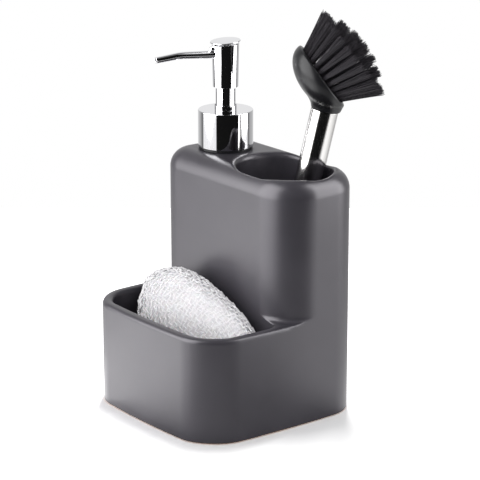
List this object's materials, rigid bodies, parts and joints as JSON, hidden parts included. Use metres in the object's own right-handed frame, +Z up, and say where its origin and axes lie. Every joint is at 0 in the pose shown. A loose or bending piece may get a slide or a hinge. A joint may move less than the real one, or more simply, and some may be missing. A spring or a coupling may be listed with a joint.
{
  "type": "soap dispenser",
  "caption": "Glazed ceramic countertop caddy with a press pump for soap, a well for a long-handled brush and an open tray for a sponge.",
  "frame": {"origin": "middle of the flat base, where the body stands on the counter", "axes": "+Z up, +X to the right along the front, -Y towards the front with the sponge tray, +Y towards the back with the tower"},
  "size_m": [0.1384, 0.152, 0.2487],
  "materials": {
    "glaze": "satin dark grey glaze, unglazed foot",
    "chrome": "mirror plated",
    "brushed_steel": "finely brushed",
    "steel": "bright wire and balls",
    "black_plastic": "moulded, satin",
    "natural_plastic": "moulded, milky",
    "gasket_rubber": "matte",
    "nylon": "black filament",
    "foam": "open foam",
    "knit": "white knitted mesh"
  },
  "bodies": {
    "root": {"ceramic_body": "glaze", "neck_insert": "black_plastic"},
    "pump_unit": {"neck_gasket": "gasket_rubber", "pump_housing": "natural_plastic", "pump_retainer": "natural_plastic", "ball_cage": "natural_plastic", "dip_tube": "natural_plastic", "return_spring": "steel"},
    "closure": {"collar_shell": "chrome", "closure_nut": "black_plastic"},
    "inlet_ball": {"inlet_ball": "steel"},
    "plunger": {"piston": "natural_plastic", "piston_stem": "natural_plastic", "stem_sleeve": "chrome"},
    "outlet_ball": {"outlet_ball": "steel"},
    "actuator": {"head_core": "black_plastic", "head_sleeve": "chrome", "button_cap": "chrome", "spout_tube": "chrome"},
    "brush": {"handle_tube": "brushed_steel", "handle_end_cap": "black_plastic", "brush_head": "black_plastic", "bristles_inner": "nylon", "bristles_middle": "nylon", "bristles_outer": "nylon"},
    "sponge": {"sponge_core": "foam", "sponge_net": "knit"}
  },
  "joints": [
    {"name": "pump_lift", "type": "slide", "parent": "root", "child": "pump_unit", "axis": [0, 0, 1], "range_m": [0, 0.155]},
    {"name": "collar_turn", "type": "hinge", "parent": "pump_unit", "child": "closure", "pos_m": [-0.034, 0.02703, 0.1533], "axis": [0, 0, 1], "range_deg": [0, 540]},
    {"name": "inlet_ball_lift", "type": "slide", "parent": "pump_unit", "child": "inlet_ball", "axis": [0, 0, 1], "range_m": [0, 0.0038]},
    {"name": "pump_press", "type": "slide", "parent": "pump_unit", "child": "plunger", "axis": [0, 0, 1], "range_m": [-0.013, 0], "stiffness_N_per_m": 350, "springref_m": 0.008, "deforming": ["return_spring"]},
    {"name": "outlet_ball_lift", "type": "slide", "parent": "plunger", "child": "outlet_ball", "axis": [0, 0, 1], "range_m": [0, 0.002]},
    {"name": "spout_swivel", "type": "hinge", "parent": "plunger", "child": "actuator", "pos_m": [-0.034, 0.02703, 0.1533], "axis": [0, 0, 1], "continuous": true},
    {"name": "brush_lift", "type": "slide", "parent": "root", "child": "brush", "axis": [0.1301, 0.1684, 0.9771], "range_m": [0, 0.175]},
    {"name": "sponge_lift", "type": "slide", "parent": "root", "child": "sponge", "axis": [0, 0, 1], "range_m": [0, 0.075]}
  ]
}
